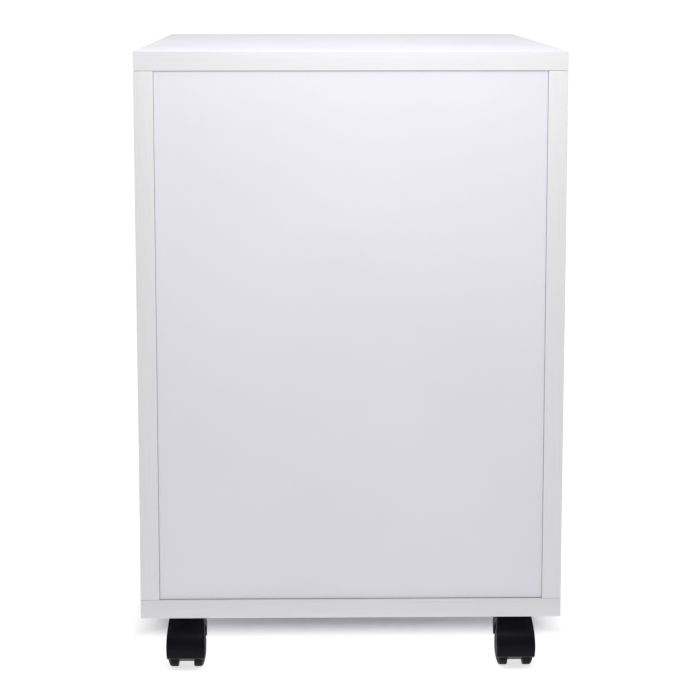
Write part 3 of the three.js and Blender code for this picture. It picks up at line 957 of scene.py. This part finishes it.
def makeFittings():
    # Plastic caps over the carcass's cam fittings, and clear bumpers behind the fronts.
    size = fittingShape
    sideLow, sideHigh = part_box("side_panel_right")
    c, out = size["cap"], size["capOut"]
    cap = turned("cap", (0, 0, 0), "Z", [
        (0, -0.3), (c, -0.3), (c, 0.25), (c - 0.3, 0.5), (c - 1.1, out), (1.4, out),
        (1.1, 0.3), (0, 0.3)], 40)
    smooth(cap, 30)
    for sign, side in ((-1, "left"), (1, "right")):
        for row, z in enumerate((sideLow.z + size["capLow"] * mm,
                                 sideHigh.z - size["capHigh"] * mm)):
            for column, y in enumerate((sideLow.y + size["capFront"] * mm,
                                        sideHigh.y - size["capRear"] * mm)):
                turn = Vector((-sign, 0, 0)).to_track_quat("Z", "Y").to_matrix().to_4x4()
                piece = copyOf(cap, f"cam_cap_{side}_{row}_{column}",
                               Matrix.Translation((sign * sideLow.x, y, z)) @ turn)
                setInPlace(piece, "root", rollerNylon)
    b, out = size["bumper"], size["bumperOut"]
    bumper = turned("bumper", (0, 0, 0), "Z", [
        (0, -0.1), (b, -0.1), (b, 0.2), (b - 0.3, 0.9), (b - 1.1, 1.4), (b - 2.4, out - 0.05),
        (0, out)], 32)
    smooth(bumper, 40)
    for drawer in ("box", "file"):
        low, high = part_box(f"{drawer}_drawer_front")
        for sign, side in ((-1, "left"), (1, "right")):
            for level, z in (("low", low.z + size["bumperEnd"] * mm),
                             ("high", high.z - size["bumperEnd"] * mm)):
                turn = Vector((0, 1, 0)).to_track_quat("Z", "Y").to_matrix().to_4x4()
                aside = high.x - size["bumperSide"] * mm
                spot = Matrix.Translation((sign * aside, high.y, z))
                piece = copyOf(bumper, f"bumper_{drawer}_{side}_{level}", spot @ turn)
                setInPlace(piece, f"{drawer}_drawer", clearRubber)
    for model in (cap, bumper, *fasteners.values()):
        bpy.data.objects.remove(model)


makeFittings()
print("fittings made")


# The floor glows as painted light: the shade keys place its painted shadow under the cabinet,
# and glow sets its painted light by distance behind the cabinet's back.
stageLook = {
    "floor": "#f4f4f4", "floorSize": 160000, "worldLight": 0.38,
    "shadeHalf": (170, 330), "shadeIn": 168, "shadeSoft": 80,
    "glow": ((0, 0.70), (90, 0.40), (400, 0.44), (1200, 0.70)),
    "high": 8.2, "highSize": 1000, "highPlace": (0, -264, 1400),
    "near": 2.0, "nearSize": 500, "nearPlace": (-60, 360, 900),
}


def aimFrom(holder, direction):
    holder.rotation_euler = (-Vector(direction)).to_track_quat("-Z", "Y").to_euler()


def areaLight(name, place, aim, size, power):
    lamp = bpy.data.lights.new(name, "AREA")
    lamp.shape = "SQUARE"
    lamp.size = size * mm
    lamp.energy = power
    holder = bpy.data.objects.new(name, lamp)
    bpy.context.scene.collection.objects.link(holder)
    holder.location = Vector(place) * mm
    aimFrom(holder, Vector(place) - Vector(aim))


def glowingFloor(rearY):
    # Pale floor that glows, which is painted light, not a lamp: the glow fades out in a
    # soft-edged rectangle under the cabinet as a painted shadow, and dips just behind the
    # cabinet as painted shade, so that less light bounces onto the cabinet's back, which darkens
    # towards the floor.
    paper, tree, place, shader = newMaterial("glowing floor with painted shadow")
    look = stageLook
    halfX, halfY = [value * mm for value in look["shadeHalf"]]
    middleY = rearY - look["shadeIn"] * mm - halfY
    axes = addNode(tree, "ShaderNodeSeparateXYZ", links={"Vector": place})
    outside = []
    for axis, centre, half in (("X", 0, halfX), ("Y", middleY, halfY)):
        away = addNode(tree, "ShaderNodeMath", {"operation": "SUBTRACT"},
                       {0: axes.outputs[axis]})
        away.inputs[1].default_value = centre
        size = addNode(tree, "ShaderNodeMath", {"operation": "ABSOLUTE"},
                       {0: away.outputs["Value"]})
        past = addNode(tree, "ShaderNodeMath", {"operation": "SUBTRACT"},
                       {0: size.outputs["Value"]})
        past.inputs[1].default_value = half
        outside.append(past.outputs["Value"])
    edge = addNode(tree, "ShaderNodeMath", {"operation": "MAXIMUM"},
                   {0: outside[0], 1: outside[1]})
    # Painted shadow: the floor's glow fades out inside the soft-edged rectangle under the
    # cabinet.
    lit = addNode(tree, "ShaderNodeMapRange", {
        "interpolation_type": "SMOOTHSTEP", "From Max": look["shadeSoft"] * mm},
        {"Value": edge.outputs["Value"]})
    # Painted shade: the glow dips just behind the cabinet and rises again further back.
    reach = look["glow"][-1][0]
    behind = addNode(tree, "ShaderNodeMapRange", {
        "From Min": rearY, "From Max": rearY + reach * mm}, {"Value": axes.outputs["Y"]})
    stops = [(far / reach, (level, level, level, 1)) for far, level in look["glow"]]
    fall = ramp(tree, behind.outputs["Result"], stops)
    glow = addNode(tree, "ShaderNodeMath", {"operation": "MULTIPLY"},
                   {0: lit.outputs["Result"], 1: fall.outputs["Color"]})
    # The floor's emission is painted light: the floor glows though it is no lamp.
    tree.links.new(glow.outputs["Value"], shader.inputs["Emission Strength"])
    shader.inputs["Base Color"].default_value = srgb(look["floor"])
    shader.inputs["Roughness"].default_value = 0.9
    shader.inputs["Specular IOR Level"].default_value = 0.0
    shader.inputs["Emission Color"].default_value = (1, 1, 1, 1)
    return paper


def setStage():
    look = stageLook
    half = look["floorSize"] * mm / 2
    floor = addBlock("floor", (-half, -half, -0.02), (half, half, 0))
    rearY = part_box("top_panel")[1].y
    floor.data.materials.append(glowingFloor(rearY))
    world = bpy.data.worlds.new("white room")
    bpy.context.scene.world = world
    world.use_nodes = True
    tree = world.node_tree
    path = addNode(tree, "ShaderNodeLightPath")
    level = addNode(
        tree, "ShaderNodeMapRange", {"To Min": look["worldLight"], "To Max": 1.0},
        {"Value": path.outputs["Is Camera Ray"]})
    sky = tree.nodes["Background"]
    sky.inputs["Color"].default_value = (1, 1, 1, 1)
    tree.links.new(level.outputs["Result"], sky.inputs["Strength"])
    for name in ("high", "near"):
        x, y, z = look[name + "Place"]
        areaLight(name + " softbox", (x, rearY / mm + y, z), (0, rearY / mm, 591),
                  look[name + "Size"], look[name])
    bpy.context.scene.view_settings.view_transform = "Standard"
    bpy.context.scene.view_settings.look = "None"


cameraSettings = {
    "distance": 2000, "height": 662, "aside": 37.5, "pitch": 8.32, "yaw": 1.045,
    "focal": 2169, "shift": -0.0857, "frame": 700, "sensor": 36,
}


def setCamera():
    look = cameraSettings
    low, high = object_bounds()
    lens = bpy.data.cameras.new("camera")
    camera = bpy.data.objects.new("camera", lens)
    bpy.context.scene.collection.objects.link(camera)
    lens.sensor_width = look["sensor"]
    lens.lens = look["focal"] * look["sensor"] / look["frame"]
    lens.shift_y = look["shift"]
    lens.clip_end = 100
    camera.location = (look["aside"] * mm, high.y + look["distance"] * mm, look["height"] * mm)
    pitch, yaw = math.radians(look["pitch"]), math.radians(look["yaw"])
    aim = Vector((-math.sin(yaw) * math.cos(pitch), -math.cos(yaw) * math.cos(pitch),
                  -math.sin(pitch)))
    camera.rotation_euler = aim.to_track_quat("-Z", "Y").to_euler()
    bpy.context.scene.camera = camera


setCamera()
setStage()
print("stage and camera set")

deselectAll()
